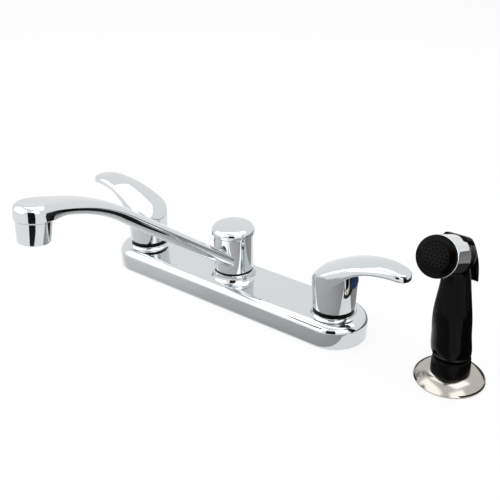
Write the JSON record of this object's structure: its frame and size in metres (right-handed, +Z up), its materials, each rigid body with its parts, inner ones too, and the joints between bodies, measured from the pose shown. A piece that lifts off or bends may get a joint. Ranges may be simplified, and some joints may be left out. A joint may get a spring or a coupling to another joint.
{
  "type": "two handle kitchen faucet",
  "caption": "Deck mounted kitchen faucet with lever handles on a long rounded plate, a swivelling arched spout, and a hand sprayer that lifts out of its own holder",
  "frame": {"origin": "centre of the deck plate's underside, on the sink deck", "axes": "+X towards the cold handle and the sprayer, -Y towards the user, +Z up"},
  "size_m": [0.3947, 0.2348, 0.2111],
  "materials": {
    "chrome": "polished chrome plate",
    "satin_nickel": "satin nickel plate",
    "black_gloss": "glossy black moulded plastic",
    "black_matte": "matt black moulded plastic",
    "blue": "glossy blue plastic",
    "red": "glossy red plastic",
    "brass": "machined brass",
    "copper_tube": "drawn copper tube",
    "grey_plastic": "matt grey plastic",
    "white_plastic": "matt white plastic",
    "ceramic": "lapped alumina ceramic",
    "rubber": "black rubber",
    "steel": "plain steel"
  },
  "bodies": {
    "faucet": {"deck_plate": "chrome", "deck_gasket": "rubber", "hot_valve_body": "brass", "cold_valve_body": "brass", "hot_cross_tube": "copper_tube", "cold_cross_tube": "copper_tube", "centre_post": "brass", "post_o_rings": "rubber", "spout_glide_ring": "black_matte", "spout_cap": "chrome", "spray_outlet_nipple": "brass", "diverter_seat": "brass", "diverter_spring": "steel", "seat_seals": "rubber", "hot_fixed_disc": "ceramic", "cold_fixed_disc": "ceramic", "hot_cartridge_housing": "grey_plastic", "cold_cartridge_housing": "grey_plastic", "bonnet_nuts": "brass", "shank_washers": "steel", "shank_nuts": "brass", "handle_glide_rings": "black_matte", "sprayer_flange": "satin_nickel", "sprayer_guide": "black_matte", "sprayer_guide_washer": "steel", "sprayer_guide_nut": "black_matte"},
    "hot_lever": {"hot_handle": "chrome", "hot_stem": "brass", "hot_moving_disc": "ceramic", "hot_handle_screw": "steel", "hot_index_button": "red"},
    "cold_lever": {"cold_handle": "chrome", "cold_stem": "brass", "cold_moving_disc": "ceramic", "cold_handle_screw": "steel", "cold_index_button": "blue"},
    "spout_arm": {"spout": "chrome", "aerator_housing": "chrome", "aerator_insert": "white_plastic", "aerator_washer": "rubber"},
    "diverter": {"diverter_piston": "brass", "diverter_seal": "rubber"},
    "sprayer": {"sprayer_grip": "black_gloss", "sprayer_nozzle_ring": "chrome", "sprayer_bezel": "black_gloss", "sprayer_face": "black_matte", "sprayer_inlet_nipple": "brass", "sprayer_inlet_washer": "rubber", "sprayer_trigger_pin": "steel", "sprayer_valve_seat": "brass"},
    "trigger": {"sprayer_trigger": "black_gloss"},
    "plunger": {"sprayer_plunger": "white_plastic"}
  },
  "joints": [
    {"name": "hot_lever_turn", "type": "hinge", "parent": "faucet", "child": "hot_lever", "pos_m": [-0.1016, 0, 0.03], "axis": [0, 0, 1], "range_deg": [0, 90]},
    {"name": "cold_lever_turn", "type": "hinge", "parent": "faucet", "child": "cold_lever", "pos_m": [0.1016, 0, 0.03], "axis": [0, 0, 1], "range_deg": [-90, 0]},
    {"name": "spout_swivel", "type": "hinge", "parent": "faucet", "child": "spout_arm", "pos_m": [0, 0, 0.045], "axis": [0, 0, 1], "continuous": true},
    {"name": "diverter_lift", "type": "slide", "parent": "faucet", "child": "diverter", "axis": [0, 0, 1], "range_m": [0, 0.0017], "stiffness_N_per_m": 100, "springref_m": -0.002, "deforming": ["diverter_spring"]},
    {"name": "sprayer_lift", "type": "slide", "parent": "faucet", "child": "sprayer", "axis": [0, 0, 1], "range_m": [0, 0.15]},
    {"name": "trigger_press", "type": "hinge", "parent": "sprayer", "child": "trigger", "pos_m": [0.2032, -0.018, 0.1194], "axis": [-1, 0, 0], "range_deg": [0, 7], "stiffness_Nm_per_rad": 2, "springref_deg": -2.86},
    {"name": "plunger_slide", "type": "slide", "parent": "sprayer", "child": "plunger", "axis": [0, -1, 0], "range_m": [0, 0.0024]}
  ],
  "couplings": [
    {"joint": "plunger_slide", "follows": "trigger_press", "m_per_rad": 0.0188}
  ]
}
